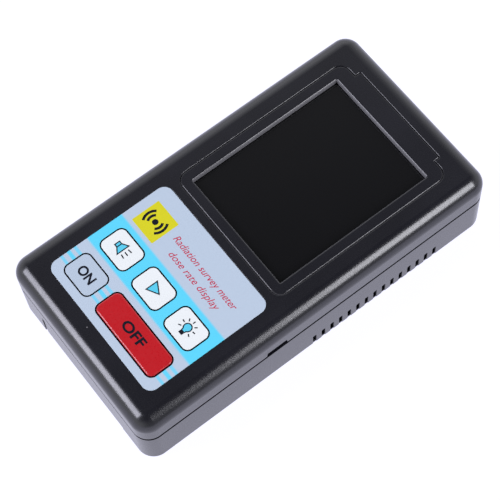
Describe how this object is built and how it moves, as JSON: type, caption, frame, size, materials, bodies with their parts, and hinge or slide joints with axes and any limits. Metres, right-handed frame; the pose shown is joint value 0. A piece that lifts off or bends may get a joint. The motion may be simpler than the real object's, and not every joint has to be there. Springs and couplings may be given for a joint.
{
  "type": "geiger counter",
  "caption": "Handheld radiation meter: two-shell plastic case, recessed display in a bezel, printed keypad with press keys, vent slots and a sliding battery door.",
  "frame": {"origin": "middle of the case's underside, lying on its back", "axes": "+X across the case to the right, +Y along the case towards the display end, +Z out of the display face"},
  "size_m": [0.07, 0.133, 0.0285],
  "materials": {
    "case_plastic": "fine matte texture, black",
    "display_glass": "dark display glass, switched off",
    "backlight_frame": "white moulded frame",
    "circuit_board": "solder-masked glass fibre board",
    "overlay_film": "printed satin film, pale blue grey",
    "white_key": "printed satin film, white",
    "red_key": "printed film, red",
    "tube_metal": "satin metal tube",
    "tube_cap": "turned brass",
    "contact_metal": "nickel-plated spring metal",
    "cell_wrap": "plain shrink wrap",
    "screw_steel": "blackened steel",
    "capacitor_coating": "dipped coating",
    "component_black": "moulded component plastic"
  },
  "bodies": {
    "case": {"upper_shell": "case_plastic", "lower_shell": "case_plastic", "display_bezel": "case_plastic", "display_glass": "display_glass", "display_backlight": "backlight_frame", "display_board": "circuit_board", "display_header": "component_black", "keypad_overlay": "overlay_film", "main_board": "circuit_board", "switch_on_body": "component_black", "switch_off_body": "component_black", "switch_sound_body": "component_black", "switch_play_body": "component_black", "switch_light_body": "component_black", "microcontroller": "component_black", "voltage_regulator": "component_black", "hv_capacitor": "capacitor_coating", "hv_inductor": "component_black", "buzzer": "component_black", "gm_tube": "tube_metal", "gm_tube_front_cap": "tube_cap", "gm_tube_rear_cap": "tube_cap", "tube_clip_front": "contact_metal", "tube_clip_rear": "contact_metal", "battery_cell_left": "cell_wrap", "battery_cell_middle": "cell_wrap", "battery_cell_right": "cell_wrap", "battery_spring_left": "contact_metal", "battery_spring_middle": "contact_metal", "battery_spring_right": "contact_metal", "contact_plate_front_pair": "contact_metal", "contact_plate_front_single": "contact_metal", "contact_plate_rear_single": "contact_metal", "contact_plate_rear_pair": "contact_metal", "case_screw_front_left": "screw_steel", "case_screw_front_right": "screw_steel", "case_screw_rear_left": "screw_steel", "case_screw_rear_right": "screw_steel", "board_screw_front_left": "screw_steel", "board_screw_front_right": "screw_steel", "board_screw_rear_left": "screw_steel", "board_screw_rear_right": "screw_steel"},
    "battery_door": {"battery_door": "case_plastic"},
    "key_on": {"key_on": "overlay_film", "switch_on_plunger": "component_black"},
    "key_off": {"key_off": "red_key", "switch_off_plunger": "component_black"},
    "key_sound": {"key_sound": "white_key", "switch_sound_plunger": "component_black"},
    "key_play": {"key_play": "white_key", "switch_play_plunger": "component_black"},
    "key_light": {"key_light": "white_key", "switch_light_plunger": "component_black"}
  },
  "joints": [
    {"name": "battery_door_slide", "type": "slide", "parent": "case", "child": "battery_door", "axis": [0, -1, 0], "range_m": [0, 0.0565]},
    {"name": "key_on_press", "type": "slide", "parent": "case", "child": "key_on", "axis": [0, 0, -1], "range_m": [0, 0.0003], "stiffness_N_per_m": 2000, "springref_m": -0.0003},
    {"name": "key_off_press", "type": "slide", "parent": "case", "child": "key_off", "axis": [0, 0, -1], "range_m": [0, 0.0003], "stiffness_N_per_m": 2000, "springref_m": -0.0003},
    {"name": "key_sound_press", "type": "slide", "parent": "case", "child": "key_sound", "axis": [0, 0, -1], "range_m": [0, 0.0003], "stiffness_N_per_m": 2000, "springref_m": -0.0003},
    {"name": "key_play_press", "type": "slide", "parent": "case", "child": "key_play", "axis": [0, 0, -1], "range_m": [0, 0.0003], "stiffness_N_per_m": 2000, "springref_m": -0.0003},
    {"name": "key_light_press", "type": "slide", "parent": "case", "child": "key_light", "axis": [0, 0, -1], "range_m": [0, 0.0003], "stiffness_N_per_m": 2000, "springref_m": -0.0003}
  ]
}
